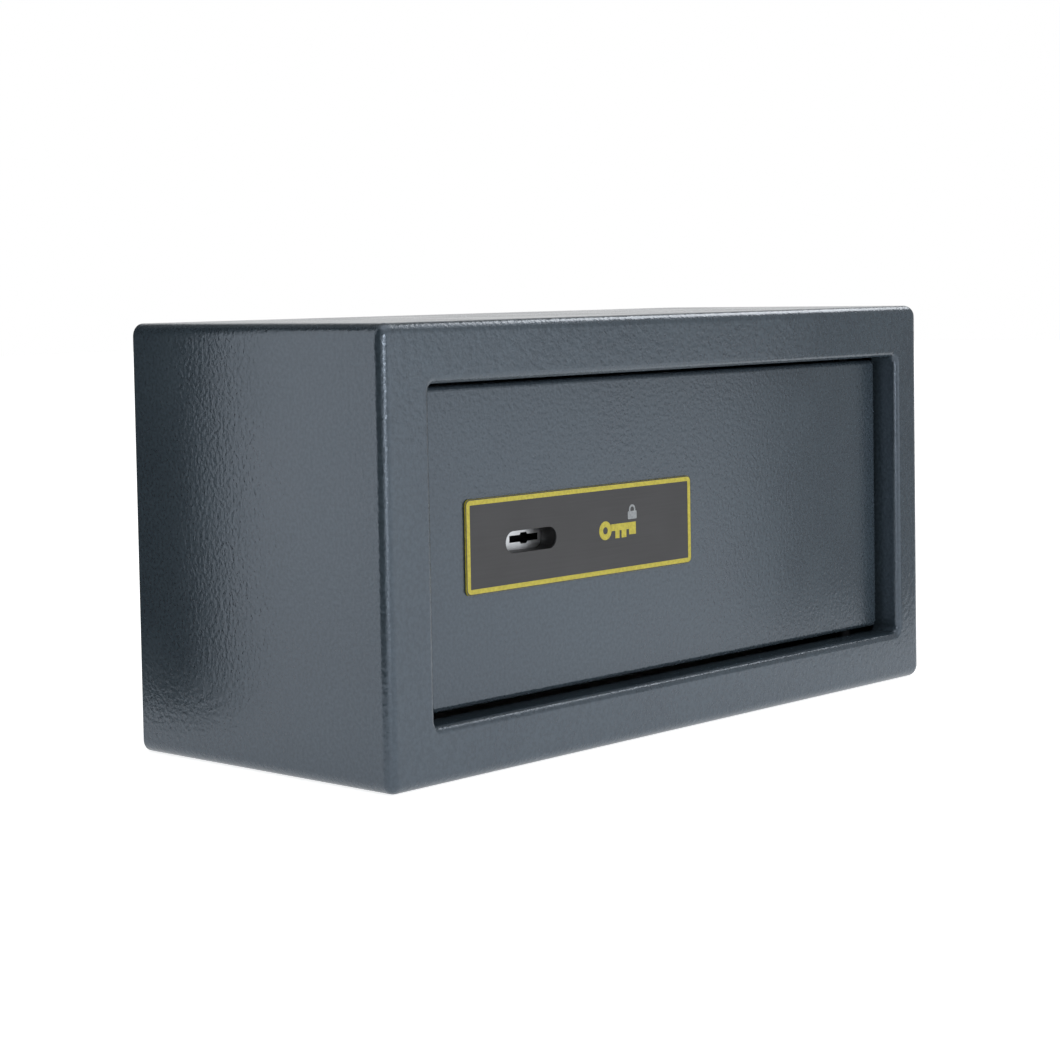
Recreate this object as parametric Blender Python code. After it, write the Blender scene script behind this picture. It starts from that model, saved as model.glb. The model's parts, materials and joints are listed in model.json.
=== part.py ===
"""In-room safe: welded steel body, recessed door, key lock and two throwing bolts.

Frame: origin at the middle of the base, +Z up, the door faces -Y and the
lock is at -X. Rest pose: door shut, lock open, both bolts drawn back.
"""
import math

import bmesh
import bpy
from mathutils import Matrix, Vector
from mathutils.geometry import tessellate_polygon

MM = 0.001

# ---- body, mm -------------------------------------------------------------
WIDTH, DEPTH, HEIGHT = 400.0, 165.0, 200.0
SHEET = 2.0                  # folded steel sheet
CORNER_R = 6.0               # outer corners, seen from the front
EDGE_R = 5.0                 # bend from the sides into the front frame
OPEN_X0, OPEN_X1 = -171.7, 179.5
OPEN_Z0, OPEN_Z1 = 25.7, 173.3
OPEN_CORNER_R = 3.0
ROLL_R = 3.5                 # bend from the frame into the doorway lip
LIP_DEPTH = 16.0
AIR = 0.3                    # air left between fixed pieces that touch

# ---- door -----------------------------------------------------------------
DOOR_RECESS = 12.0
DOOR_T = 4.0
DOOR_EDGE_R = 2.5
GAP_LEFT, GAP_RIGHT, GAP_TOP, GAP_BOTTOM = 1.75, 2.5, 1.75, 3.0
LABEL_X0, LABEL_X1, LABEL_Z0, LABEL_Z1 = -140.6, 17.3, 78.2, 120.8
LABEL_T = 0.8
KEYHOLE_X, KEYHOLE_Z = -98.0, 99.5
KEYHOLE_L, KEYHOLE_H = 34.0, 10.0

# ---- hinge ----------------------------------------------------------------
HINGE_X, HINGE_Y = 158.0, -61.4
PIN_R, PIN_SHOULDER_R = 3.0, 3.6
BUSH_R = 3.1

# ---- lock -----------------------------------------------------------------
LOCK_X, LOCK_Z = -93.0, 99.5         # axis of the key barrel
LOCK_FACE_Y = -62.1                  # front of the lock face plate
BARREL_R = 12.0
KEY_SLOT_L, KEY_SLOT_H = 19.0, 3.2
CAM_THROW = 10.0                     # cam peg to barrel axis
PEG_R = 2.2
KEY_TURN_DEG = 90.0
BOLT_TRAVEL = 2.0 * CAM_THROW * math.sin(math.radians(KEY_TURN_DEG / 2))
CASE_X0, CASE_X1, CASE_Z0, CASE_Z1 = -124.0, -60.0, 70.0, 136.5
LEVER_PIVOT = (-69.0, 122.0)
STUMP = (-92.0, 122.0)
LEVER_HALF_H = 9.0

# ---- bolts ----------------------------------------------------------------
BOLT_R = 7.0
BOLT_Y = -55.9
BOLT_Z = (60.0, 140.0)
BOLT_TIP_X, BOLT_END_X = -168.0, -131.0

FRONT_Y, BACK_Y = -DEPTH / 2, DEPTH / 2
DOOR_FRONT_Y = FRONT_Y + DOOR_RECESS
DOOR_BACK_Y = DOOR_FRONT_Y + DOOR_T
DOOR_X0, DOOR_X1 = OPEN_X0 + GAP_LEFT, OPEN_X1 - GAP_RIGHT
DOOR_Z0, DOOR_Z1 = OPEN_Z0 + GAP_BOTTOM, OPEN_Z1 - GAP_TOP
HINGE = (HINGE_X, HINGE_Y, 0.0)
BARREL = (LOCK_X, 0.0, LOCK_Z)


# ---- materials ------------------------------------------------------------
def paint(name, colour, metallic, roughness):
    mat = bpy.data.materials.new(name)
    mat.use_nodes = True
    shader = mat.node_tree.nodes["Principled BSDF"]
    shader.inputs["Base Color"].default_value = (*colour, 1.0)
    shader.inputs["Metallic"].default_value = metallic
    shader.inputs["Roughness"].default_value = roughness
    mat.diffuse_color = (*colour, 1.0)
    return mat


# ---- mesh helpers, all in mm ----------------------------------------------
def finish(name, bm, mat, origin=(0.0, 0.0, 0.0)):
    """Turn a bmesh in mm into an object in metres with its origin moved."""
    bmesh.ops.remove_doubles(bm, verts=bm.verts, dist=1e-5)
    bmesh.ops.recalc_face_normals(bm, faces=bm.faces)
    if bm.calc_volume(signed=True) < 0:
        bmesh.ops.reverse_faces(bm, faces=bm.faces)
    shift = Matrix.Translation(-Vector(origin))
    bmesh.ops.transform(bm, matrix=Matrix.Scale(MM, 4) @ shift, verts=bm.verts)
    mesh = bpy.data.meshes.new(name)
    bm.to_mesh(mesh)
    bm.free()
    mesh.materials.append(mat)
    ob = bpy.data.objects.new(name, mesh)
    ob.location = Vector(origin) * MM
    bpy.context.scene.collection.objects.link(ob)
    return ob


def rounded_rect(x0, x1, z0, z1, r, steps=8):
    """Counter-clockwise outline with `steps` segments on each corner."""
    pts = []
    for cx, cz, start in ((x1 - r, z1 - r, 0), (x0 + r, z1 - r, 90),
                          (x0 + r, z0 + r, 180), (x1 - r, z0 + r, 270)):
        for i in range(steps + 1):
            a = math.radians(start + 90 * i / steps)
            pts.append((cx + r * math.cos(a), cz + r * math.sin(a)))
    return pts


def rect(x0, x1, z0, z1):
    return [(x0, z0), (x1, z0), (x1, z1), (x0, z1)]


def circle(cx, cz, r, steps=48):
    return [(cx + r * math.cos(2 * math.pi * i / steps),
             cz + r * math.sin(2 * math.pi * i / steps)) for i in range(steps)]


def obround(cx, cz, length, height, steps=16):
    r = height / 2
    half = length / 2 - r
    pts = []
    for sx, start in ((half, -90), (-half, 90)):
        for i in range(steps + 1):
            a = math.radians(start + 180 * i / steps)
            pts.append((cx + sx + r * math.cos(a), cz + r * math.sin(a)))
    return pts


def place(axis, a, b, t):
    """2D outline point (a, b) at height t along an axis."""
    return {"X": (t, a, b), "Y": (a, t, b), "Z": (a, b, t)}[axis]


def loft(rims, holes, axis):
    """Solid through (height, outline) rims, lowest first, with straight through holes."""
    bm = bmesh.new()
    sizes = [len(rims[0][1])] + [len(hole) for hole in holes]

    def cap(height, outline):
        loops = [outline] + list(holes)
        verts = [bm.verts.new(place(axis, p[0], p[1], height)) for loop in loops for p in loop]
        for tri in tessellate_polygon([[Vector((*p, 0.0)) for p in loop] for loop in loops]):
            bm.faces.new([verts[i] for i in tri])
        return verts

    low, high = cap(*rims[0]), cap(*rims[-1])
    walls = [low[:sizes[0]]]
    walls += [[bm.verts.new(place(axis, *p, height)) for p in outline]
              for height, outline in rims[1:-1]]
    walls.append(high[:sizes[0]])
    pairs = list(zip(walls, walls[1:]))
    first = sizes[0]
    for n in sizes[1:]:
        pairs.append((low[first:first + n], high[first:first + n]))
        first += n
    for one, two in pairs:
        for i in range(len(one)):
            j = (i + 1) % len(one)
            bm.faces.new((one[i], one[j], two[j], two[i]))
    return bm


def extrude(outline, holes, axis, lo, hi):
    """Flat piece between lo and hi along an axis, with through holes."""
    return loft([(lo, outline), (hi, outline)], holes, axis)


def rounded_rims(box, corner_r, edge_r, rim_y, flat_y, steps=4):
    """Rims for a plate whose edge at rim_y is rounded and whose other face is at flat_y."""
    x0, x1, z0, z1 = box
    away = 1 if flat_y > rim_y else -1
    rims = []
    for i in range(steps + 1):
        a = math.pi / 2 * i / steps
        inset = edge_r * (1 - math.sin(a))
        rims.append((rim_y + away * edge_r * (1 - math.cos(a)),
                     rounded_rect(x0 + inset, x1 - inset, z0 + inset, z1 - inset,
                                  corner_r - inset)))
    rims.append((flat_y, rounded_rect(x0, x1, z0, z1, corner_r)))
    return rims


def plate(name, mat, outline, holes, axis, lo, hi, origin=(0.0, 0.0, 0.0)):
    return finish(name, extrude(outline, holes, axis, lo, hi), mat, origin)


def turned(name, mat, profile, axis, centre, origin=(0.0, 0.0, 0.0), steps=48):
    """Round piece from (radius, height) points; a closed ring if no radius is 0."""
    bm = bmesh.new()
    rings = []
    for r, t in profile:
        if r == 0:
            rings.append([bm.verts.new(place(axis, *centre, t))])
        else:
            rings.append([bm.verts.new(place(axis, a, b, t))
                          for a, b in circle(*centre, r, steps)])
    solid = len(rings[0]) == 1
    pairs = list(zip(rings, rings[1:]))
    if not solid:
        pairs.append((rings[-1], rings[0]))
    for one, two in pairs:
        for i in range(steps):
            j = (i + 1) % steps
            if len(one) == 1:
                bm.faces.new((one[0], two[i], two[j]))
            elif len(two) == 1:
                bm.faces.new((one[i], one[j], two[0]))
            else:
                bm.faces.new((one[i], one[j], two[j], two[i]))
    return finish(name, bm, mat, origin)


def rod(name, mat, r, axis, centre, lo, hi, chamfer=0.4, origin=(0.0, 0.0, 0.0)):
    profile = [(0, lo), (r - chamfer, lo), (r, lo + chamfer),
               (r, hi - chamfer), (r - chamfer, hi), (0, hi)]
    return turned(name, mat, profile, axis, centre, origin)


def ring(name, mat, r_in, r_out, axis, centre, lo, hi, origin=(0.0, 0.0, 0.0)):
    profile = [(r_in, lo), (r_out, lo), (r_out, hi), (r_in, hi)]
    return turned(name, mat, profile, axis, centre, origin)


def cut(ob, *tools):
    """Remove tool solids, given as bmeshes in mm, from an object at the world origin."""
    base = ob.data
    for i, bm in enumerate(tools):
        tool = finish("cutter_%d" % i, bm, base.materials[0])
        mod = ob.modifiers.new("cut", "BOOLEAN")
        mod.operation, mod.solver, mod.object = "DIFFERENCE", "EXACT", tool
        bpy.context.view_layer.update()
        posed = ob.evaluated_get(bpy.context.evaluated_depsgraph_get())
        mesh = bpy.data.meshes.new_from_object(posed)
        ob.modifiers.remove(mod)
        ob.data = mesh
        bpy.data.objects.remove(tool)
    ob.data.name = ob.name
    return ob


def move_origin(ob, origin):
    """Put an object's origin on its joint axis without moving its shape."""
    shift = Vector(origin) * MM
    ob.data.transform(Matrix.Translation(-shift))
    ob.location = shift
    return ob


# ---- body pieces ----------------------------------------------------------
def outer_ring(y, inset):
    return y, rounded_rect(-WIDTH / 2 + inset, WIDTH / 2 - inset,
                           inset, HEIGHT - inset, CORNER_R - inset)


def doorway_ring(y, grow):
    return y, rounded_rect(OPEN_X0 - grow, OPEN_X1 + grow, OPEN_Z0 - grow,
                           OPEN_Z1 + grow, OPEN_CORNER_R + grow)


def quarter(n, back=False):
    angles = [math.pi / 2 * i / n for i in range(n + 1)]
    return reversed(angles) if back else angles


def hoop(name, rings, mat):
    """Closed band through (y, outline) rings, the last joined to the first."""
    bm = bmesh.new()
    rows = [[bm.verts.new((x, y, z)) for x, z in pts] for y, pts in rings]
    for one, two in zip(rows, rows[1:] + rows[:1]):
        for i in range(len(one)):
            j = (i + 1) % len(one)
            bm.faces.new((one[i], one[j], two[j], two[i]))
    return finish(name, bm, mat)


def front_frame(mat):
    """Pressed front: bend round from the sides, flat face, bend into the doorway."""
    rings = [outer_ring(FRONT_Y + EDGE_R * (1 - math.sin(t)), EDGE_R * (1 - math.cos(t)))
             for t in quarter(8)]
    rings += [doorway_ring(FRONT_Y + ROLL_R * (1 - math.cos(t)), ROLL_R * (1 - math.sin(t)))
              for t in quarter(8)]
    roll, edge = ROLL_R - SHEET, EDGE_R - SHEET
    rings += [doorway_ring(FRONT_Y + ROLL_R - roll * math.cos(t), ROLL_R - roll * math.sin(t))
              for t in quarter(4, True)]
    rings += [outer_ring(FRONT_Y + EDGE_R - edge * math.sin(t), EDGE_R - edge * math.cos(t))
              for t in quarter(4, True)]
    return hoop("front_frame", rings, mat)


def doorway_lips(mat):
    """Four flanges that run straight back from the doorway's bend."""
    y0, y1 = FRONT_Y + ROLL_R + AIR, FRONT_Y + LIP_DEPTH
    wide = (OPEN_X0 - SHEET, OPEN_X1 + SHEET)
    tall = (OPEN_Z0 + AIR, OPEN_Z1 - AIR)
    for name, x, z in (("lip_top", wide, (OPEN_Z1, OPEN_Z1 + SHEET)),
                       ("lip_bottom", wide, (OPEN_Z0 - SHEET, OPEN_Z0)),
                       ("lip_left", (OPEN_X0 - SHEET, OPEN_X0), tall),
                       ("lip_right", (OPEN_X1, OPEN_X1 + SHEET), tall)):
        plate(name, mat, rect(*x, *z), [], "Y", y0, y1)


def wall_outline(start):
    """One wall of the wrap seen from the front, from half-way round one corner to the next."""
    trim = math.degrees(AIR / 2 / (CORNER_R - SHEET / 2))
    centre = {0: (1, 1), 90: (-1, 1), 180: (-1, -1), 270: (1, -1)}
    reach_x, reach_z = WIDTH / 2 - CORNER_R, HEIGHT / 2 - CORNER_R

    def arc(quadrant, a0, a1, r):
        sx, sz = centre[quadrant % 360]
        return [(sx * reach_x + r * math.cos(math.radians(a0 + (a1 - a0) * i / 4)),
                 HEIGHT / 2 + sz * reach_z + r * math.sin(math.radians(a0 + (a1 - a0) * i / 4)))
                for i in range(5)]

    def side(r):
        return (arc(start, start + 45 + trim, start + 90, r)
                + arc(start + 90, start + 90, start + 135 - trim, r))

    return side(CORNER_R) + list(reversed(side(CORNER_R - SHEET)))


def wrap_walls(mat):
    y0 = FRONT_Y + EDGE_R + AIR
    for name, start in (("top_panel", 0), ("left_panel", 90), ("right_panel", 270)):
        plate(name, mat, wall_outline(start), [], "Y", y0, BACK_Y)
    cut(plate("floor_panel", mat, wall_outline(180), [], "Y", y0, BACK_Y),
        *[extrude(circle(x, PLUG_FLOOR[1], PLUG_HOLE_R), [], "Z", -1.0, 3.0)
          for x in (-PLUG_FLOOR[0], PLUG_FLOOR[0])])


PLUG_HOLE_R = 5.0
PLUG_FLOOR = (90.0, 12.0)
PLUG_WALL = (90.0, 120.0)


def plug_profile(outside, step):
    """Stem through the sheet and a head on the inside; step is the way in, +1 or -1."""
    inside = outside + step * (SHEET + AIR)
    tip = outside + step * 0.2
    head = inside + step * 1.8
    return [(0, tip), (PLUG_HOLE_R - AIR, tip), (PLUG_HOLE_R - AIR, inside),
            (8.0, inside), (8.0, head - step * 0.6), (7.2, head), (0, head)]


def build_body(m):
    front_frame(m["coat"])
    doorway_lips(m["coat"])
    wrap_walls(m["coat"])
    holes = [circle(x, PLUG_WALL[1], PLUG_HOLE_R) for x in (-PLUG_WALL[0], PLUG_WALL[0])]
    inset = SHEET + AIR
    plate("back_panel", m["coat"],
          rounded_rect(-WIDTH / 2 + inset, WIDTH / 2 - inset, inset, HEIGHT - inset, 3.7),
          holes, "Y", BACK_Y - SHEET, BACK_Y)
    mat_holes = [circle(x, PLUG_FLOOR[1], 9.0) for x in (-PLUG_FLOOR[0], PLUG_FLOOR[0])]
    plate("floor_mat", m["felt"], rounded_rect(-193, 193, -60, 78, 4.0), mat_holes,
          "Z", SHEET + AIR, SHEET + AIR + 3.0)
    for side, word in ((-1, "left"), (1, "right")):
        turned("floor_plug_" + word, m["rubber"], plug_profile(0.0, 1), "Z",
               (side * PLUG_FLOOR[0], PLUG_FLOOR[1]), steps=32)
        turned("wall_plug_" + word, m["rubber"], plug_profile(BACK_Y, -1), "Y",
               (side * PLUG_WALL[0], PLUG_WALL[1]), steps=32)
    for word, z, step in (("lower", OPEN_Z0 - SHEET - AIR, -1),
                          ("upper", OPEN_Z1 + SHEET + AIR, 1)):
        far = z + step * 3.0
        lo, hi = min(z, far), max(z, far)
        plate("hinge_plate_" + word, m["coat"],
              rounded_rect(146, WIDTH / 2 - inset, -77, -52.4, 2.0),
              [circle(HINGE_X, HINGE_Y, 5.0)], "Z", lo, hi)
        ring("hinge_bush_" + word, m["brass"], BUSH_R, 4.7, "Z", (HINGE_X, HINGE_Y),
             lo - 0.2, hi + 0.2)
    keeper_x = OPEN_X0 - SHEET - AIR
    plate("keeper_strip", m["coat"], rounded_rect(-77, -64.5, 45, 155, 1.0), [], "X",
          keeper_x - 3.0, keeper_x)


# ---- door pieces ----------------------------------------------------------
def build_door(m):
    back = DOOR_BACK_Y + AIR
    finish("door_plate",
           loft(rounded_rims((DOOR_X0, DOOR_X1, DOOR_Z0, DOOR_Z1), 3.2, DOOR_EDGE_R,
                             DOOR_FRONT_Y, DOOR_BACK_Y, 6),
                [obround(KEYHOLE_X, KEYHOLE_Z, KEYHOLE_L + 3, KEYHOLE_H + 3)], "Y"),
           m["coat"], HINGE)
    label_back = DOOR_FRONT_Y - AIR
    finish("label_plate",
           loft(rounded_rims((LABEL_X0, LABEL_X1, LABEL_Z0, LABEL_Z1), 2.5, 0.25,
                             label_back - LABEL_T, label_back, 2),
                [obround(KEYHOLE_X, KEYHOLE_Z, KEYHOLE_L, KEYHOLE_H)], "Y"),
           m["label"], HINGE)
    plate("key_guide", m["black"],
          obround(KEYHOLE_X, KEYHOLE_Z, KEYHOLE_L + 2.4, KEYHOLE_H + 2.4),
          [obround(KEYHOLE_X, KEYHOLE_Z, KEYHOLE_L, KEYHOLE_H)],
          "Y", label_back + AIR, LOCK_FACE_Y - AIR, HINGE)
    for word, z0, z1 in (("lower", DOOR_Z0 + 1.5, DOOR_Z0 + 21.5),
                         ("upper", DOOR_Z1 - 21.5, DOOR_Z1 - 1.5)):
        plate("hinge_block_" + word, m["zinc"],
              rounded_rect(HINGE_X - 8, HINGE_X + 8, back, back + 10, 1.0),
              [circle(HINGE_X, HINGE_Y, PIN_SHOULDER_R + AIR)], "Z", z0, z1, HINGE)
    for word, root, shoulder, tip in (("lower", DOOR_Z0 + 20, 24.0, 18.0),
                                      ("upper", DOOR_Z1 - 20, 175.0, 181.0)):
        s = 1 if tip > shoulder else -1
        turned("hinge_pin_" + word, m["steel"],
               [(0, root), (PIN_SHOULDER_R, root), (PIN_SHOULDER_R, shoulder),
                (PIN_R, shoulder), (PIN_R, tip - s * 0.8), (PIN_R - 0.8, tip), (0, tip)],
               "Z", (HINGE_X, HINGE_Y), HINGE)
    for word, z in zip(("lower", "upper"), BOLT_Z):
        plate("bolt_guide_" + word, m["zinc"],
              rounded_rect(back, -44.6, z - 12, z + 12, 2.0),
              [circle(BOLT_Y, z, BOLT_R + AIR)], "X", -164, -161, HINGE)

    # inner cover: a shallow pan over the bolt work, on four posts
    x0, x1, z0, z1, rear, wall = -166.0, 130.0, 36.0, 164.0, -40.3, 1.2
    posts = [(x, z) for x in (-150.0, 115.0) for z in (45.0, 155.0)]
    cover = finish("inner_cover",
                   loft(rounded_rims((x0, x1, z0, z1), 4.0, 3.0, rear, back), [], "Y"),
                   m["coat"])
    hollow = (x0 + wall, x1 - wall, z0 + wall, z1 - wall)
    tools = [loft(rounded_rims(hollow, 4.0 - wall, 3.0 - wall, rear - wall, back - 1), [], "Y")]
    tools += [extrude(circle(BOLT_Y, z, BOLT_R + 0.8), [], "X", x0 - 1, x0 + 2.0)
              for z in BOLT_Z]
    tools += [extrude(circle(x, z, 2.2, 24), [], "Y", rear - 2, rear + 1) for x, z in posts]
    move_origin(cut(cover, *tools), HINGE)
    for i, (x, z) in enumerate(posts, 1):
        turned("cover_post_%d" % i, m["zinc"],
               [(2.2, back), (4.5, back), (4.5, rear - wall - AIR),
                (2.2, rear - wall - AIR)], "Y", (x, z), HINGE, steps=24)
        screw("cover_screw_%d" % i, m["steel"], (x, z), rear + AIR, 11.0)


def screw(name, mat, centre, seat, length):
    """Pan-head screw driven from behind towards -Y, with a hex recess."""
    profile = [(0, seat - length), (1.4, seat - length), (1.8, seat - length + 0.5),
               (1.8, seat), (3.6, seat), (3.6, seat + 1.0), (2.9, seat + 1.9),
               (1.5, seat + 1.9), (1.5, seat + 0.8), (0, seat + 0.8)]
    return turned(name, mat, profile, "Y", centre, HINGE, steps=24)


def build_lock(m):
    """Lock box fixed to the door: face plate, case, fixings and lever pivot."""
    face_back = LOCK_FACE_Y + 2.0
    fixings = [(CASE_X0 + 6, CASE_Z0 + 6), (CASE_X1 - 6, CASE_Z0 + 6)]
    outline = rounded_rect(CASE_X0, CASE_X1, CASE_Z0, CASE_Z1, 2.0)
    plate("lock_face", m["nickel"], outline,
          [circle(LOCK_X, LOCK_Z, BARREL_R + AIR)] + [circle(x, z, 2.2, 24) for x, z in fixings],
          "Y", LOCK_FACE_Y, face_back, HINGE)
    front, rear, wall = face_back + AIR, -45.8, 1.5
    case = plate("lock_case", m["zinc"], outline, [], "Y", front, rear)
    tools = [extrude(rect(CASE_X0 + wall, CASE_X1 - wall, CASE_Z0 + wall, CASE_Z1 - wall),
                     [], "Y", front - 1, rear - wall),
             extrude(rect(CASE_X0 - 1, CASE_X0 + 3, 91, 107), [], "Y", -52.0, -48.3)]
    tools += [extrude(circle(x, z, 2.2, 24), [], "Y", rear - 3, rear + 1) for x, z in fixings]
    move_origin(cut(case, *tools), HINGE)
    for i, (x, z) in enumerate(fixings, 1):
        turned("lock_spacer_%d" % i, m["zinc"],
               [(2.2, DOOR_BACK_Y + AIR), (4.5, DOOR_BACK_Y + AIR),
                (4.5, LOCK_FACE_Y - AIR), (2.2, LOCK_FACE_Y - AIR)],
               "Y", (x, z), HINGE, steps=24)
        screw("lock_screw_%d" % i, m["steel"], (x, z), rear + AIR, 20.0)
    rod("lever_pivot", m["steel"], 2.0, "Y", LEVER_PIVOT, face_back + AIR,
        rear - wall - AIR, origin=HINGE)


# ---- moving lock pieces ---------------------------------------------------
def build_key_parts(m):
    end, half_h, hub = KEY_SLOT_L / 2, KEY_SLOT_H / 2, 2.6
    slot = [(-end, -half_h), (-hub, -half_h), (-hub + 0.7, -hub), (hub - 0.7, -hub),
            (hub, -half_h), (end, -half_h)]
    slot += [(-x, -z) for x, z in slot]
    slot = [(LOCK_X + x, LOCK_Z + z) for x, z in slot]
    plate("key_barrel", m["nickel"], circle(LOCK_X, LOCK_Z, BARREL_R), [slot],
          "Y", LOCK_FACE_Y, -54.6, BARREL)
    plate("drive_cam", m["steel"], circle(LOCK_X, LOCK_Z, CAM_THROW + 3.0), [],
          "Y", -54.3, -52.3, BARREL)
    half = math.radians(KEY_TURN_DEG / 2)
    peg = (LOCK_X + CAM_THROW * math.sin(half), LOCK_Z - CAM_THROW * math.cos(half))
    rod("cam_peg", m["steel"], PEG_R, "Y", peg, -52.0, -48.1, origin=BARREL)
    return peg


def build_bolt_work(m, peg):
    """Sliding set: plate driven by the cam peg, cross bar and two round bolts."""
    lo, hi = -51.4, -48.9
    outline = [(-143, 92), (-107, 92), (-107, 84), (-79, 84), (-79, 130), (-107, 130),
               (-107, 106), (-143, 106)]
    rivets = [(-136.0, 95.5), (-136.0, 102.5)]
    slot = rect(peg[0] - PEG_R - 0.6, peg[0] + PEG_R + 0.6, peg[1] - 6.3, peg[1] + 3.2)
    plate("lock_bolt", m["steel"], outline,
          [slot] + [circle(x, z, 2.0, 24) for x, z in rivets], "Y", lo, hi)
    rod("bolt_stump", m["steel"], 1.8, "Y", STUMP, -59.8, lo - AIR)
    bar_lo, bar_hi = hi + AIR, hi + AIR + 3.0
    plate("bolt_bar", m["zinc"],
          rounded_rect(-142, -130, BOLT_Z[0] - 8, BOLT_Z[1] + 8, 2.0),
          [circle(x, z, 2.0, 24) for x, z in rivets], "Y", bar_lo, bar_hi)
    for word, (x, z) in zip(("lower", "upper"), rivets):
        turned("bar_rivet_" + word, m["steel"],
               [(0, lo + 0.2), (1.7, lo + 0.2), (1.7, bar_hi + AIR), (3.0, bar_hi + AIR),
                (2.4, bar_hi + 1.6), (0, bar_hi + 1.9)], "Y", (x, z), steps=24)
    for word, z in zip(("lower", "upper"), BOLT_Z):
        rod("locking_bolt_" + word, m["nickel"], BOLT_R, "X", (BOLT_Y, z),
            BOLT_TIP_X, BOLT_END_X, chamfer=1.0)


def build_levers(m):
    px, pz = LEVER_PIVOT
    pivot = (px, 0.0, pz)
    for i, word in enumerate(("front", "middle", "rear")):
        lo = -59.3 + 1.7 * i
        plate("lever_" + word, m["brass"],
              rounded_rect(-116, px + 5, pz - LEVER_HALF_H, pz + LEVER_HALF_H, 2.0),
              [rect(-110, -87, pz - 4.2, pz + 4.2), circle(px, pz, 2.3, 32)],
              "Y", lo, lo + 1.3, pivot)


def main():
    for ob in list(bpy.data.objects):
        bpy.data.objects.remove(ob)
    m = {
        "coat": paint("powder_coat", (0.085, 0.105, 0.13), 0.0, 0.42),
        "label": paint("label_plate", (0.05, 0.052, 0.055), 0.0, 0.45),
        "nickel": paint("nickel_plate", (0.62, 0.61, 0.58), 1.0, 0.28),
        "black": paint("black_nylon", (0.012, 0.012, 0.013), 0.0, 0.5),
        "zinc": paint("zinc_plate", (0.50, 0.51, 0.52), 1.0, 0.38),
        "steel": paint("bright_steel", (0.45, 0.45, 0.46), 1.0, 0.30),
        "brass": paint("brass", (0.60, 0.42, 0.16), 1.0, 0.32),
        "rubber": paint("rubber", (0.02, 0.02, 0.02), 0.0, 0.8),
        "felt": paint("felt_mat", (0.03, 0.032, 0.036), 0.0, 0.95),
    }
    build_body(m)
    build_door(m)
    build_lock(m)
    build_bolt_work(m, build_key_parts(m))
    build_levers(m)


main()
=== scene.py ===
"""Looks for the in-room safe: one coated steel skin, printed label, lock, materials, studio."""
import json
import math

import bmesh
import bpy
from mathutils import Matrix, Vector, noise


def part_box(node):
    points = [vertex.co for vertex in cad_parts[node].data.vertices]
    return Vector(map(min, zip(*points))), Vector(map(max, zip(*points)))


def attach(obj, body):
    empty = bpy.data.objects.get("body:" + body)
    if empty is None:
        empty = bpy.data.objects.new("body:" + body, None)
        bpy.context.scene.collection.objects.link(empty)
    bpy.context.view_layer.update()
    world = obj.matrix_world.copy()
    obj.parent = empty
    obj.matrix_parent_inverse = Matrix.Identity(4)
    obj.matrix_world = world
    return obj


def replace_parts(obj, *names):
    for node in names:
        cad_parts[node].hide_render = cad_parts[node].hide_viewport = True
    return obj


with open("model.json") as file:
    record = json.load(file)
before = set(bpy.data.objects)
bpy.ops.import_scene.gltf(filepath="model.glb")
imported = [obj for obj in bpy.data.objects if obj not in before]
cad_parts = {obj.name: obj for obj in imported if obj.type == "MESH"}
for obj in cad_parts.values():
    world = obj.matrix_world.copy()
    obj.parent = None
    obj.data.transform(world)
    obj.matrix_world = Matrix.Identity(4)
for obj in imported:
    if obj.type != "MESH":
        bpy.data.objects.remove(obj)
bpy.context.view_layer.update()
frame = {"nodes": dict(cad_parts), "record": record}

MM = 0.001

# Sizes that the skin shares with the CAD panels, in metres
CORNER_R = 6.0 * MM          # outer corners, seen from the front
EDGE_R = 5.0 * MM            # bend from the sides into the front
ROLL_R = 3.5 * MM            # bend from the front into the doorway lip
OPEN_CORNER_R = 3.0 * MM
SHEET = 2.0 * MM
ANCHOR_R = 5.0 * MM

# Sizes of the looks
SLIVER = 0.01 * MM           # ring that starts the doorway from the front outline
SAME_SPOT = 1e-6             # points closer than this are one
FELT_CELL, FELT_HOLE_R = 3.0 * MM, 9.0 * MM
FELT_WAVES = ((0.35, 38.0), (0.12, 7.0))    # depth and length of the wave and of the lumps, mm
FELT_CUT_R = 0.7 * MM
INK = 0.06 * MM              # thickness of the printed film
BORDER_EDGE, BORDER_LINE, BORDER_CORNER = 0.5 * MM, 2.1 * MM, 2.2 * MM
INKED_RIM = 1.0 * MM
BARREL_FACE = 0.4 * MM       # depth of nickel on the front of the key barrel
BEND_STEPS, ROUND_STEPS = 8, 32
SMOOTH_BELOW = math.radians(32)             # sharper edges than this stay sharp


# ---- small helpers --------------------------------------------------------
def linear(code):
    """sRGB hex such as '#5a6670' to linear RGBA."""
    parts = [int(code[i:i + 2], 16) / 255 for i in (1, 3, 5)]
    return tuple(c / 12.92 if c <= 0.04045 else ((c + 0.055) / 1.055) ** 2.4
                 for c in parts) + (1.0,)


def per(size_mm):
    """Texture scale that gives one feature every size_mm on Object coordinates."""
    return 1000.0 / size_mm


def add(tree, kind, inputs=None, **settings):
    """One node with its settings.

    inputs maps each socket to a value or to the socket that feeds it.
    """
    made = tree.nodes.new(kind)
    for key, value in settings.items():
        setattr(made, key, value)
    for key, value in (inputs or {}).items():
        if isinstance(value, bpy.types.NodeSocket):
            tree.links.new(value, made.inputs[key])
        else:
            made.inputs[key].default_value = value
    return made


def start(name):
    """New material: its tree, its Principled shader and its Object coordinates."""
    mat = bpy.data.materials.new(name)
    mat.use_nodes = True
    tree = mat.node_tree
    where = add(tree, "ShaderNodeTexCoord").outputs["Object"]
    return mat, tree, tree.nodes["Principled BSDF"], where


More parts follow.
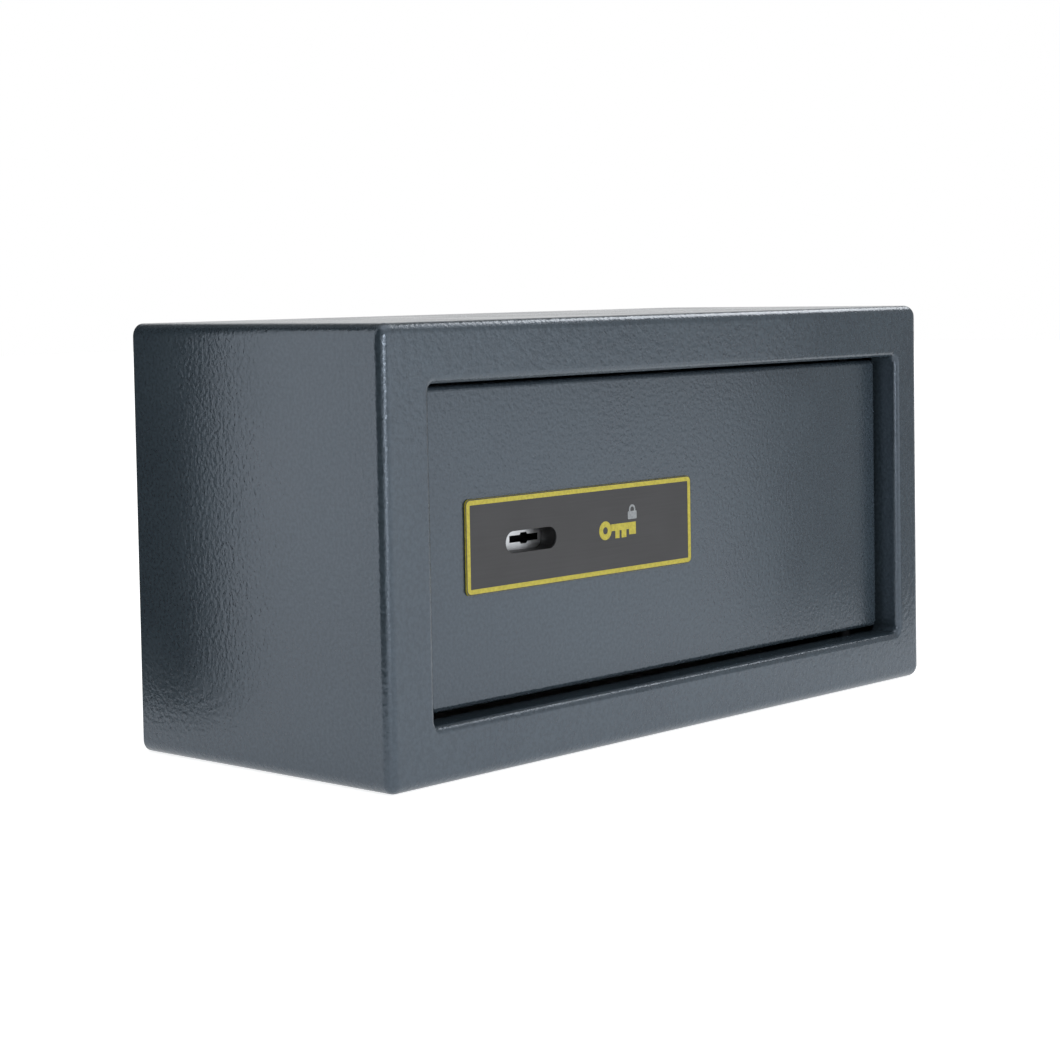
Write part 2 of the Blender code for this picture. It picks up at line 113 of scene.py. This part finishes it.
# ---- materials ------------------------------------------------------------
def polyester_powder_coat():
    """Textured polyester powder coat, sprayed and stoved on steel sheet.

    It melts into a fine leather-like skin: dull slate colour, a soft sheen that breaks
    up into small light and dark specks, and a slight cloudiness over larger areas.
    """
    mat, tree, shader, where = start("slate_polyester_powder_coat")
    cloud = add(tree, "ShaderNodeTexNoise", {"Vector": where, "Scale": per(45.0), "Detail": 2.0})
    fleck = add(tree, "ShaderNodeTexNoise", {"Vector": where, "Scale": per(1.6), "Detail": 1.0})
    tone = add(tree, "ShaderNodeMapRange",
               {"Value": cloud.outputs["Fac"], "From Min": 0.3, "From Max": 0.7})
    base = add(tree, "ShaderNodeMix", {0: tone.outputs[0], 6: linear("#2b343b"),
                                       7: linear("#2f3940")}, data_type="RGBA")
    speck = add(tree, "ShaderNodeMapRange", {"Value": fleck.outputs["Fac"], "From Min": 0.35,
                                             "From Max": 0.65, "To Min": 0.84, "To Max": 1.16})
    colour = add(tree, "ShaderNodeVectorMath", {0: base.outputs[2], 3: speck.outputs[0]},
                 operation="SCALE")
    tree.links.new(colour.outputs[0], shader.inputs["Base Color"])
    # melt texture: leather grain about 2 mm across with finer grit of about 1 mm on it
    grain = add(tree, "ShaderNodeTexNoise", {"Vector": where, "Scale": per(2.2), "Detail": 2.0,
                                             "Roughness": 0.55})
    grit = add(tree, "ShaderNodeTexVoronoi", {"Vector": where, "Scale": per(1.1)},
               feature="SMOOTH_F1")
    coarse = add(tree, "ShaderNodeBump", {"Height": grain.outputs["Fac"], "Strength": 0.75,
                                          "Distance": 0.28 * MM})
    fine = add(tree, "ShaderNodeBump", {"Height": grit.outputs["Distance"], "Strength": 0.3,
                                        "Distance": 0.08 * MM, "Normal": coarse.outputs[0]})
    tree.links.new(fine.outputs[0], shader.inputs["Normal"])
    gloss = add(tree, "ShaderNodeMapRange", {"Value": cloud.outputs["Fac"], "From Min": 0.3,
                                             "From Max": 0.7, "To Min": 0.19, "To Max": 0.25})
    tree.links.new(gloss.outputs[0], shader.inputs["Roughness"])
    shader.inputs["IOR"].default_value = 1.72
    shader.inputs["Specular Tint"].default_value = linear("#dfedff")
    return mat


def screen_printed_aluminium():
    """Rolled aluminium sheet under a dark grey baked screen print.

    It looks flat and even, with faint rolling lines.
    """
    mat, tree, shader, where = start("dark_grey_printed_aluminium")
    stretch = add(tree, "ShaderNodeMapping", {"Vector": where, "Scale": (per(30.0), 1.0, per(0.9))})
    lines = add(tree, "ShaderNodeTexNoise", {"Vector": stretch.outputs[0], "Scale": 1.0,
                                             "Detail": 2.0})
    cloud = add(tree, "ShaderNodeTexNoise", {"Vector": where, "Scale": per(25.0), "Detail": 1.0})
    mixed = add(tree, "ShaderNodeMath", {0: lines.outputs["Fac"], 1: cloud.outputs["Fac"]},
                operation="ADD")
    share = add(tree, "ShaderNodeMapRange", {"Value": mixed.outputs[0], "From Min": 0.7,
                                             "From Max": 1.3})
    colour = add(tree, "ShaderNodeMix", {0: share.outputs[0], 6: linear("#232427"),
                                         7: linear("#2b2c2f")}, data_type="RGBA")
    tree.links.new(colour.outputs[2], shader.inputs["Base Color"])
    skin = add(tree, "ShaderNodeBump", {"Height": lines.outputs["Fac"], "Strength": 0.15,
                                        "Distance": 0.03 * MM})
    tree.links.new(skin.outputs[0], shader.inputs["Normal"])
    shader.inputs["Roughness"].default_value = 0.42
    return mat


def enamel_ink(name, dark, light, roughness):
    """Baked enamel screen ink: opaque, slightly uneven where the mesh of the screen laid it."""
    mat, tree, shader, where = start(name)
    screen = add(tree, "ShaderNodeTexNoise", {"Vector": where, "Scale": per(1.4), "Detail": 2.0})
    share = add(tree, "ShaderNodeMapRange", {"Value": screen.outputs["Fac"], "From Min": 0.35,
                                             "From Max": 0.65})
    colour = add(tree, "ShaderNodeMix", {0: share.outputs[0], 6: linear(dark), 7: linear(light)},
                 data_type="RGBA")
    tree.links.new(colour.outputs[2], shader.inputs["Base Color"])
    shader.inputs["Roughness"].default_value = roughness
    return mat


def plated_metal(name, dark, light, streak_mm, smooth, rough):
    """Metal with fine one-way polishing lines and a slightly patchy plate over them."""
    mat, tree, shader, where = start(name)
    stretch = add(tree, "ShaderNodeMapping",
                  {"Vector": where, "Scale": (per(streak_mm * 12), per(streak_mm * 12),
                                              per(streak_mm))})
    lines = add(tree, "ShaderNodeTexNoise", {"Vector": stretch.outputs[0], "Scale": 1.0,
                                             "Detail": 3.0})
    patch = add(tree, "ShaderNodeTexNoise", {"Vector": where, "Scale": per(9.0), "Detail": 2.0})
    share = add(tree, "ShaderNodeMapRange", {"Value": patch.outputs["Fac"], "From Min": 0.3,
                                             "From Max": 0.7})
    colour = add(tree, "ShaderNodeMix", {0: share.outputs[0], 6: linear(dark), 7: linear(light)},
                 data_type="RGBA")
    tree.links.new(colour.outputs[2], shader.inputs["Base Color"])
    gloss = add(tree, "ShaderNodeMapRange", {"Value": lines.outputs["Fac"], "From Min": 0.3,
                                             "From Max": 0.7, "To Min": smooth, "To Max": rough})
    tree.links.new(gloss.outputs[0], shader.inputs["Roughness"])
    groove = add(tree, "ShaderNodeBump", {"Height": lines.outputs["Fac"], "Strength": 0.2,
                                          "Distance": 0.02 * MM})
    tree.links.new(groove.outputs[0], shader.inputs["Normal"])
    shader.inputs["Metallic"].default_value = 1.0
    return mat


def moulded(name, dark, light, grain_mm, depth_mm, roughness):
    """Moulded rubber or nylon: near-even colour and a fine spark-eroded tool grain."""
    mat, tree, shader, where = start(name)
    grain = add(tree, "ShaderNodeTexNoise", {"Vector": where, "Scale": per(grain_mm),
                                             "Detail": 2.0})
    colour = add(tree, "ShaderNodeMix", {0: grain.outputs["Fac"], 6: linear(dark),
                                         7: linear(light)}, data_type="RGBA")
    tree.links.new(colour.outputs[2], shader.inputs["Base Color"])
    skin = add(tree, "ShaderNodeBump", {"Height": grain.outputs["Fac"], "Strength": 0.4,
                                        "Distance": depth_mm * MM})
    tree.links.new(skin.outputs[0], shader.inputs["Normal"])
    shader.inputs["Roughness"].default_value = roughness
    return mat


def needle_felt():
    """Needled polyester felt: matted fibres that lie every way, no sheen, small tufts."""
    mat, tree, shader, where = start("charcoal_needle_felt")
    tuft = add(tree, "ShaderNodeTexNoise", {"Vector": where, "Scale": per(3.0), "Detail": 4.0,
                                            "Roughness": 0.7, "Distortion": 1.5})
    fibre = add(tree, "ShaderNodeTexNoise", {"Vector": where, "Scale": per(0.8), "Detail": 3.0,
                                             "Distortion": 3.0})
    both = add(tree, "ShaderNodeMath", {0: tuft.outputs["Fac"], 1: fibre.outputs["Fac"]},
               operation="MULTIPLY")
    share = add(tree, "ShaderNodeMapRange", {"Value": both.outputs[0], "From Min": 0.12,
                                             "From Max": 0.40})
    colour = add(tree, "ShaderNodeMix", {0: share.outputs[0], 6: linear("#222529"),
                                         7: linear("#4a4e53")}, data_type="RGBA")
    tree.links.new(colour.outputs[2], shader.inputs["Base Color"])
    pile = add(tree, "ShaderNodeBump", {"Height": both.outputs[0], "Strength": 0.8,
                                        "Distance": 0.5 * MM})
    tree.links.new(pile.outputs[0], shader.inputs["Normal"])
    shader.inputs["Roughness"].default_value = 0.95
    shader.inputs["Sheen Weight"].default_value = 0.25
    return mat


FINISH = {
    "coat": polyester_powder_coat(),
    "label": screen_printed_aluminium(),
    # satin nickel over turned brass: cool white metal with fine buffing lines
    "nickel": plated_metal("satin_nickel_plate", "#b6b9bd", "#ced2d6", 0.5, 0.28, 0.38),
    # clear-passivated zinc on rolled steel: cool, a little cloudy
    "zinc": plated_metal("clear_zinc_plate", "#9aa0a6", "#b4b9bd", 0.8, 0.30, 0.42),
    # ground and oiled machined steel
    "steel": plated_metal("ground_steel", "#8b8c8e", "#a3a4a5", 0.4, 0.24, 0.36),
    # machined brass sheet for bushes and levers
    "brass": plated_metal("machined_brass", "#a8854a", "#bd9a5c", 0.4, 0.24, 0.34),
    "black": moulded("black_moulded_nylon", "#0b0b0c", "#131314", 0.6, 0.03, 0.5),
    "rubber": moulded("black_epdm_rubber", "#151515", "#1e1e1e", 1.0, 0.05, 0.75),
    "felt": needle_felt(),
}
# near-black steel with a dull metal sheen, used as painted shade: the hinge pins in the door gap
# and the cam seen through the key slot read as dark as shaded hollows
SHADE_DARK_STEEL = plated_metal("steel_painted_dark_as_shade", "#17181a", "#222426", 0.8, 0.45, 0.6)
SHADE_DARK_NODES = ("hinge_pin_upper", "hinge_pin_lower", "drive_cam")
# mustard yellow and light grey enamel of the printed border and marks
YELLOW_INK = enamel_ink("yellow_enamel_ink", "#a3982a", "#b6ab36", 0.4)
GREY_INK = enamel_ink("light_grey_enamel_ink", "#7d8286", "#8e9396", 0.4)


# ---- shading of turned and bent pieces ------------------------------------
def smoothing_group():
    """Geometry nodes that weld a CAD mesh and shade it smooth except at real edges."""
    tree = bpy.data.node_groups.new("weld_and_shade", "GeometryNodeTree")
    tree.interface.new_socket("Geometry", in_out="INPUT", socket_type="NodeSocketGeometry")
    tree.interface.new_socket("Geometry", in_out="OUTPUT", socket_type="NodeSocketGeometry")
    source = add(tree, "NodeGroupInput")
    weld = add(tree, "GeometryNodeMergeByDistance",
               {"Geometry": source.outputs[0], "Distance": 0.002 * MM})
    faces = add(tree, "GeometryNodeSetShadeSmooth", {"Geometry": weld.outputs[0]})
    angle = add(tree, "GeometryNodeInputMeshEdgeAngle")
    bend = add(tree, "FunctionNodeCompare", {0: angle.outputs[0], 1: SMOOTH_BELOW},
               data_type="FLOAT", operation="LESS_THAN")
    edges = add(tree, "GeometryNodeSetShadeSmooth",
                {"Geometry": faces.outputs[0], "Shade Smooth": bend.outputs[0]}, domain="EDGE")
    add(tree, "NodeGroupOutput", {0: edges.outputs[0]})
    return tree


SHADE = smoothing_group()


def weigh_normals(ob):
    """Keep large flat faces flat beside a bend."""
    ob.modifiers.new("flat_faces", "WEIGHTED_NORMAL").keep_sharp = True


def dress(ob, finish):
    ob.data.materials.clear()
    ob.data.materials.append(finish)
    for face in ob.data.polygons:
        face.material_index = 0


def ink_rim(ob):
    """The border ink also covers the thin outer rim of the label plate."""
    ob.data.materials.append(YELLOW_INK)
    lo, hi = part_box("label_plate")
    for face in ob.data.polygons:
        at = ob.matrix_world @ face.center
        inset = min(at.x - lo.x, hi.x - at.x, at.z - lo.z, hi.z - at.z)
        face.material_index = int(face.normal.y > -0.5 and inset < INKED_RIM)


def darken_key_slot(ob):
    """Nickel stays on the barrel's face; the slot behind it is painted near black, as painted shade
    in the keyway.
    """
    # faces deeper than the nickel face take the near-black steel as painted shade
    ob.data.materials.append(SHADE_DARK_STEEL)
    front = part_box("key_barrel")[0].y
    for face in ob.data.polygons:
        face.material_index = int((ob.matrix_world @ face.center).y > front + BARREL_FACE)


def dress_cad_nodes():
    slots = {s["node"]: s["material_slot"] for s in frame["record"]["subparts"]}
    for name, ob in frame["nodes"].items():
        # hinge pins and drive cam get the near-black steel as painted shade in the door gap and
        # behind the key slot
        dress(ob, SHADE_DARK_STEEL if name in SHADE_DARK_NODES else FINISH[slots[name]])
        ob.modifiers.new("weld_and_shade", "NODES").node_group = SHADE
        weigh_normals(ob)
    ink_rim(frame["nodes"]["label_plate"])
    darken_key_slot(frame["nodes"]["key_barrel"])


# ---- new pieces -----------------------------------------------------------
def piece(name, bm, finish, body):
    """Mesh from a bmesh as an object at the origin that rides on a body."""
    mesh = bpy.data.meshes.new(name)
    bm.to_mesh(mesh)
    bm.free()
    mesh.shade_smooth()
    mesh.set_sharp_from_angle(angle=SMOOTH_BELOW)
    ob = bpy.data.objects.new(name, mesh)
    bpy.context.scene.collection.objects.link(ob)
    dress(ob, finish)
    weigh_normals(ob)
    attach(ob, body)
    return ob


def bevel(bm, geom, width, segments, affect="EDGES"):
    bmesh.ops.bevel(bm, geom=geom, offset=width, offset_type="OFFSET", segments=segments,
                    profile=0.5, affect=affect, material=-1)


def facing_front(bm):
    """The largest face that looks towards -Y."""
    return max((f for f in bm.faces if f.normal.y < -0.99), key=lambda f: f.calc_area())


def right_angles(bm):
    """Edges between two faces that meet at about a right angle."""
    return [e for e in bm.edges if len(e.link_faces) == 2
            and e.calc_face_angle(0) > math.radians(80)]


def pierce_floor(bm):
    """Refill the flat underside around the two anchor holes under the floor plugs."""
    under = max((f for f in bm.faces if f.normal.z < -0.99), key=lambda f: f.calc_area())
    z = under.verts[0].co.z
    rim = list(under.edges)
    bmesh.ops.delete(bm, geom=[under], context="FACES_ONLY")
    for side in ("left", "right"):
        lo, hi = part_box("floor_plug_" + side)
        spot = Matrix.Translation(((lo.x + hi.x) / 2, (lo.y + hi.y) / 2, z))
        ring = bmesh.ops.create_circle(bm, cap_ends=False, radius=ANCHOR_R,
                                       segments=ROUND_STEPS, matrix=spot)
        rim += {e for v in ring["verts"] for e in v.link_edges}
    bmesh.ops.triangle_fill(bm, use_beauty=True, use_dissolve=False, edges=rim,
                            normal=(0.0, 0.0, -1.0))


def body_skin():
    """Walls, front and doorway lip as the one coated skin that the ground welds leave."""
    names = ("front_frame", "lip_top", "lip_bottom", "lip_left", "lip_right", "top_panel",
             "left_panel", "right_panel", "floor_panel")
    boxes = [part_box(n) for n in names]
    lo = Vector([min(b[0][i] for b in boxes) for i in range(3)])
    hi = Vector([max(b[1][i] for b in boxes) for i in range(3)])
    throat = (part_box("lip_left")[1].x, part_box("lip_right")[0].x,
              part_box("lip_bottom")[1].z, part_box("lip_top")[0].z)
    lip_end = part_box("lip_top")[1].y

    bm = bmesh.new()
    bmesh.ops.create_cube(bm, size=1.0)
    bmesh.ops.scale(bm, vec=hi - lo, verts=bm.verts)
    bmesh.ops.translate(bm, vec=(lo + hi) / 2, verts=bm.verts)
    bevel(bm, [e for e in bm.edges if abs(e.verts[0].co.y - e.verts[1].co.y) > (hi.y - lo.y) / 2],
          CORNER_R, BEND_STEPS)
    bmesh.ops.delete(bm, geom=[f for f in bm.faces if f.normal.y > 0.99], context="FACES_ONLY")
    bevel(bm, [e for e in bm.edges if all(v.co.y < lo.y + SAME_SPOT for v in e.verts)],
          EDGE_R, BEND_STEPS)

    # doorway: copy the front outline inwards, corner by corner
    front = facing_front(bm)
    bmesh.ops.inset_region(bm, faces=[front], thickness=SLIVER, use_even_offset=True)
    front = facing_front(bm)
    rim = list(front.verts)
    old_r = CORNER_R - EDGE_R - SLIVER
    for sx, sz, x, z in ((-1, -1, throat[0], throat[2]), (1, -1, throat[1], throat[2]),
                         (1, 1, throat[1], throat[3]), (-1, 1, throat[0], throat[3])):
        corner = [v for v in rim if (v.co.x - (lo.x + hi.x) / 2) * sx > 0
                  and (v.co.z - (lo.z + hi.z) / 2) * sz > 0]
        was = Vector((hi.x - CORNER_R if sx > 0 else lo.x + CORNER_R, lo.y,
                      hi.z - CORNER_R if sz > 0 else lo.z + CORNER_R))
        now = Vector((x - sx * OPEN_CORNER_R, lo.y, z - sz * OPEN_CORNER_R))
        grow = OPEN_CORNER_R / old_r
        bmesh.ops.scale(bm, vec=(grow, 1, grow), space=Matrix.Translation(-was), verts=corner)
        bmesh.ops.translate(bm, vec=now - was, verts=corner)
    lip = bmesh.ops.extrude_face_region(bm, geom=[front])
    lip_verts = [g for g in lip["geom"] if isinstance(g, bmesh.types.BMVert)]
    bmesh.ops.translate(bm, vec=(0, lip_end - lo.y, 0), verts=lip_verts)
    bmesh.ops.delete(bm, geom=[g for g in lip["geom"] if isinstance(g, bmesh.types.BMFace)],
                     context="FACES_ONLY")
    bmesh.ops.delete(bm, geom=[front], context="FACES_ONLY")
    bevel(bm, [e for e in right_angles(bm) if all(abs(v.co.y - lo.y) < SAME_SPOT for v in e.verts)],
          ROLL_R, BEND_STEPS)
    pierce_floor(bm)
    bmesh.ops.solidify(bm, geom=list(bm.faces), thickness=SHEET)
    bmesh.ops.recalc_face_normals(bm, faces=bm.faces)
    ob = piece("body_skin", bm, FINISH["coat"], "safe_body")
    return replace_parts(ob, *names)


def felt_mat():
    """Needled felt cut to the floor, with a punched hole over each anchor.

    Its cut edges are soft and it doesn't lie quite flat.
    """
    lo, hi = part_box("floor_mat")
    size = hi - lo
    bm = bmesh.new()
    bmesh.ops.create_grid(bm, x_segments=round(size.x / FELT_CELL), size=0.5,
                          y_segments=round(size.y / FELT_CELL),
                          matrix=Matrix.Translation(((lo.x + hi.x) / 2, (lo.y + hi.y) / 2, hi.z))
                          @ Matrix.Diagonal((size.x, size.y, 1, 1)))
    corners = [v for v in bm.verts if len(v.link_faces) == 1]
    bevel(bm, corners, 0.8 * FELT_CELL, 4, affect="VERTICES")
    for side in ("left", "right"):
        plug_lo, plug_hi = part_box("floor_plug_" + side)
        spot = Vector(((plug_lo.x + plug_hi.x) / 2, (plug_lo.y + plug_hi.y) / 2, hi.z))
        punched = [f for f in bm.faces if (f.calc_center_median() - spot).length < FELT_HOLE_R]
        rim = {v for f in punched for v in f.verts}
        bmesh.ops.delete(bm, geom=punched, context="FACES")
        for v in (v for v in rim if v.is_valid):
            v.co = spot + (v.co - spot).normalized() * FELT_HOLE_R
    area = sum(f.calc_area() for f in bm.faces)
    bmesh.ops.solidify(bm, geom=list(bm.faces), thickness=size.z)
    bevel(bm, right_angles(bm), FELT_CUT_R, 3)
    for v in (v for v in bm.verts if v.co.z > lo.z + size.z / 2):
        for depth, length in FELT_WAVES:
            v.co.z -= depth * MM * (1 + noise.noise(v.co * per(length))) / 2
    bmesh.ops.recalc_face_normals(bm, faces=bm.faces)
    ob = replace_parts(piece("felt_mat", bm, FINISH["felt"], "safe_body"), "floor_mat")


def print_on_label(name, bm, finish):
    """Give a flat outline at y = 0 the thickness of a printed ink film on the label."""
    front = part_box("label_plate")[0].y
    bmesh.ops.remove_doubles(bm, verts=bm.verts, dist=SAME_SPOT)
    grown = bmesh.ops.extrude_face_region(bm, geom=list(bm.faces))
    bmesh.ops.translate(bm, vec=(0, INK, 0),
                        verts=[g for g in grown["geom"] if isinstance(g, bmesh.types.BMVert)])
    bmesh.ops.translate(bm, vec=(0, front - INK, 0), verts=bm.verts)
    bmesh.ops.recalc_face_normals(bm, faces=bm.faces)
    piece(name, bm, finish, "door")


def flat_rect(bm, x0, x1, z0, z1, corner=0.0):
    """Upright rectangle at y = 0, with rounded corners where corner isn't 0."""
    made = bmesh.ops.create_grid(bm, x_segments=1, y_segments=1, size=0.5,
                                 matrix=Matrix.Translation(((x0 + x1) / 2, 0, (z0 + z1) / 2))
                                 @ Matrix.Diagonal((x1 - x0, 1, z1 - z0, 1))
                                 @ Matrix.Rotation(math.pi / 2, 4, "X"))
    if corner:
        bevel(bm, list(made["verts"][0].link_faces[0].verts), corner, 6, affect="VERTICES")


def label_border():
    lo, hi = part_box("label_plate")
    bm = bmesh.new()
    flat_rect(bm, lo.x + BORDER_EDGE, hi.x - BORDER_EDGE, lo.z + BORDER_EDGE,
              hi.z - BORDER_EDGE, BORDER_CORNER)
    whole = list(bm.faces)
    bmesh.ops.inset_region(bm, faces=whole, thickness=BORDER_LINE, use_even_offset=True,
                           use_boundary=True)
    bmesh.ops.delete(bm, geom=whole, context="FACES_ONLY")
    bmesh.ops.delete(bm, geom=[v for v in bm.verts if not v.link_faces], context="VERTS")
    print_on_label("label_border", bm, YELLOW_INK)


def ring_face(bm, x, z, r_out, r_in):
    """Flat ring at y = 0."""
    turn = Matrix.Translation((x, 0, z)) @ Matrix.Rotation(math.pi / 2, 4, "X")
    made = bmesh.ops.create_circle(bm, cap_ends=True, radius=r_out, segments=ROUND_STEPS,
                                   matrix=turn)
    disc = made["verts"][0].link_faces[0]
    bmesh.ops.inset_region(bm, faces=[disc], thickness=r_out - r_in, use_even_offset=True,
                           use_boundary=True)
    bmesh.ops.delete(bm, geom=[disc], context="FACES_ONLY")


# places and sizes of the marks, from the label's lower left corner and then from the key
KEY_MARK_AT = (89.5 * MM, 21.0 * MM)
KEY_BOW_R, KEY_BOW_HOLE_R = 4.4 * MM, 1.7 * MM
KEY_SHANK = (8.5 * MM, 26.5 * MM, -0.6 * MM, 2.6 * MM)               # left, right, low, high
KEY_TEETH = ((11.5, 14.5, 4.2), (16.0, 19.5, 4.2), (21.5, 26.5, 3.2))    # left, right, drop, mm
PADLOCK_AT = (24.0 * MM, 4.0 * MM)
PADLOCK_HALF, PADLOCK_HEIGHT = 3.2 * MM, 3.8 * MM
SHACKLE_R, SHACKLE_LEG = (2.3 * MM, 1.3 * MM), 0.8 * MM
ARCH_STEPS = 16


def label_marks():
    """Plain pictograms in place of lettering: a stout key lying flat and a small padlock."""
    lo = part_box("label_plate")[0]
    x, z = lo.x + KEY_MARK_AT[0], lo.z + KEY_MARK_AT[1]
    bm = bmesh.new()
    ring_face(bm, x + KEY_BOW_R, z, KEY_BOW_R, KEY_BOW_HOLE_R)
    flat_rect(bm, x + KEY_SHANK[0], x + KEY_SHANK[1], z + KEY_SHANK[2], z + KEY_SHANK[3])
    for begins, ends, drop in KEY_TEETH:
        flat_rect(bm, x + begins * MM, x + ends * MM, z - drop * MM, z + KEY_SHANK[2])
    print_on_label("label_key_mark", bm, YELLOW_INK)

    bm = bmesh.new()
    x, base = x + PADLOCK_AT[0], z + PADLOCK_AT[1]
    top = base + PADLOCK_HEIGHT
    flat_rect(bm, x - PADLOCK_HALF, x + PADLOCK_HALF, base, top, 0.5 * MM)
    turns = [math.pi * i / ARCH_STEPS for i in range(ARCH_STEPS + 1)]
    sides = []
    for r in SHACKLE_R:
        arch = [(x + r * math.cos(a), top + SHACKLE_LEG + r * math.sin(a)) for a in turns]
        side = [(arch[0][0], top), *arch, (arch[-1][0], top)]
        sides.append([bm.verts.new((px, 0, pz)) for px, pz in side])
    outer, inner = sides
    for i in range(len(outer) - 1):
        bm.faces.new((outer[i], outer[i + 1], inner[i + 1], inner[i]))
    print_on_label("label_padlock_mark", bm, GREY_INK)


# ---- studio ---------------------------------------------------------------
CAMERA_AT = Vector((-0.9078, -0.8140, 0.2153))
CAMERA_AZIMUTH, CAMERA_PITCH, CAMERA_ROLL = 47.501, -3.196, 0.995   # degrees
CAMERA_LENS, CAMERA_SHIFT_Y = 82.81, -0.104
# the light of the room by direction: towards, cosine where it starts and is full, strength
ROOM_LIGHT = (((0.25, -0.95, 0.10), -0.2, 0.95, 0.48),      # front
              ((0.70, 0.71, 0.08), 0.80, 0.96, 0.90),       # white backdrop
              ((0.0, -0.2, 1.0), 0.35, 0.90, 0.60))         # ceiling
DIM_ROOM = 0.05
NEAR_CLIP, FAR_CLIP = 0.01, 50.0
TABLE_SIZE = (12.0, 12.0)
LAMP_SIZE, LAMP_WATTS = (1.8, 1.2), 6
# sheets that show only in reflections: name, middle, size, facing, shade, glow
CARDS = (
    ("rear_flag", (-0.28, 0.385, 0.35), (0.70, 0.53), "X", "#050505", 0.0),
    ("edge_flag", (-0.45, -0.07, 0.35), (0.70, 0.30), "X", "#050505", 0.0),
    ("right_card", (0.73, -0.21, 0.35), (0.94, 0.70), "Y", "#808080", 0.30),
    ("rear_left_card", (-0.62, 0.42, 0.40), (0.80, 0.90), "X", "#f0f0f0", 0.7),
    ("low_strip", (-0.56, -0.60, 0.10), (0.22, 0.20), "Y", "#f0f0f0", 3.0),
    ("upper_right_card", (1.20, -0.15, 1.15), (0.70, 0.90), "X", "#f0f0f0", 4.0),
    ("edge_strip", (-0.56, -0.80, 0.33), (0.30, 0.30), "Y", "#f0f0f0", 9.0))
FACING = {"X": Matrix.Rotation(math.pi / 2, 4, "Y"), "Y": Matrix.Rotation(math.pi / 2, 4, "X")}


def camera():
    cam = bpy.data.objects.new("camera", bpy.data.cameras.new("camera"))
    az, pitch, roll = (math.radians(a) for a in (CAMERA_AZIMUTH, CAMERA_PITCH, CAMERA_ROLL))
    ahead = Vector((math.sin(az) * math.cos(pitch), math.cos(az) * math.cos(pitch),
                    math.sin(pitch)))
    level = Vector((math.cos(az), -math.sin(az), 0.0))
    up = level.cross(ahead)
    right = level * math.cos(roll) - up * math.sin(roll)
    up = up * math.cos(roll) + level * math.sin(roll)
    turn = Matrix((right, up, -ahead)).transposed()
    cam.matrix_world = Matrix.Translation(CAMERA_AT) @ turn.to_4x4()
    cam.data.lens = CAMERA_LENS
    cam.data.shift_y = CAMERA_SHIFT_Y
    cam.data.clip_start, cam.data.clip_end = NEAR_CLIP, FAR_CLIP
    bpy.context.scene.collection.objects.link(cam)
    bpy.context.scene.camera = cam


def lamp(name, at, aim):
    """White soft box at a place, facing a point."""
    light = bpy.data.lights.new(name, "AREA")
    light.shape = "RECTANGLE"
    light.size, light.size_y = LAMP_SIZE
    light.energy = LAMP_WATTS
    ob = bpy.data.objects.new(name, light)
    ob.location = at
    ob.rotation_euler = (Vector(aim) - Vector(at)).to_track_quat("-Z", "Y").to_euler()
    bpy.context.scene.collection.objects.link(ob)


def standing(name, size, matrix, mat):
    """Flat sheet of the studio, not part of the object."""
    bm = bmesh.new()
    bmesh.ops.create_grid(bm, x_segments=1, y_segments=1, size=0.5,
                          matrix=matrix @ Matrix.Diagonal((*size, 1, 1)))
    mesh = bpy.data.meshes.new(name)
    bm.to_mesh(mesh)
    bm.free()
    ob = bpy.data.objects.new(name, mesh)
    bpy.context.scene.collection.objects.link(ob)
    mesh.materials.append(mat)
    return ob


def matt(name, shade, glow):
    """Plain matt white, grey or black; glow is the light that it gives of its own."""
    mat = bpy.data.materials.new(name)
    mat.use_nodes = True
    shader = mat.node_tree.nodes["Principled BSDF"]
    shader.inputs["Base Color"].default_value = linear(shade)
    shader.inputs["Roughness"].default_value = 0.9
    shader.inputs["Emission Color"].default_value = (1.0, 1.0, 1.0, 1.0)
    shader.inputs["Emission Strength"].default_value = glow
    mat.cycles.emission_sampling = "NONE"
    return mat


def studio():
    """White light table in a room that is dark to the left.

    Cards and flags round the object show only in its reflections.
    """
    world = bpy.data.worlds.new("studio")
    world.use_nodes = True
    tree = world.node_tree
    sky = tree.nodes["Background"]
    seen = add(tree, "ShaderNodeLightPath")
    look = add(tree, "ShaderNodeTexCoord")
    total = DIM_ROOM
    for towards, begins, full, strength in ROOM_LIGHT:
        facing = add(tree, "ShaderNodeVectorMath",
                     {0: look.outputs["Generated"], 1: Vector(towards).normalized()},
                     operation="DOT_PRODUCT")
        part = add(tree, "ShaderNodeMapRange",
                   {"Value": facing.outputs["Value"], "From Min": begins, "From Max": full,
                    "To Max": strength}, interpolation_type="SMOOTHSTEP")
        total = add(tree, "ShaderNodeMath", {0: part.outputs[0], 1: total},
                    operation="ADD").outputs[0]
    level = add(tree, "ShaderNodeMix", {0: seen.outputs["Is Camera Ray"], 2: total,
                                        3: 1.0}, data_type="FLOAT")
    tree.links.new(level.outputs[0], sky.inputs["Strength"])
    sky.inputs["Color"].default_value = (1.0, 1.0, 1.0, 1.0)
    bpy.context.scene.world = world
    standing("light_table", TABLE_SIZE, Matrix(), matt("white_light_table", "#d0d0d0", 0.85))
    for name, at, size, facing, shade, glow in CARDS:
        card = standing(name, size, Matrix.Translation(at) @ FACING[facing],
                        matt(name, shade, glow))
        card.visible_camera = card.visible_diffuse = card.visible_shadow = False
    lamp("front_box", (0.7, -2.0, 0.5), (0, 0, 0.1))
    lamp("overhead_box", (0.1, -0.4, 1.7), (0, 0, 0))
    bpy.context.scene.view_settings.view_transform = "Standard"


dress_cad_nodes()
body_skin()
felt_mat()
label_border()
label_marks()
camera()
studio()
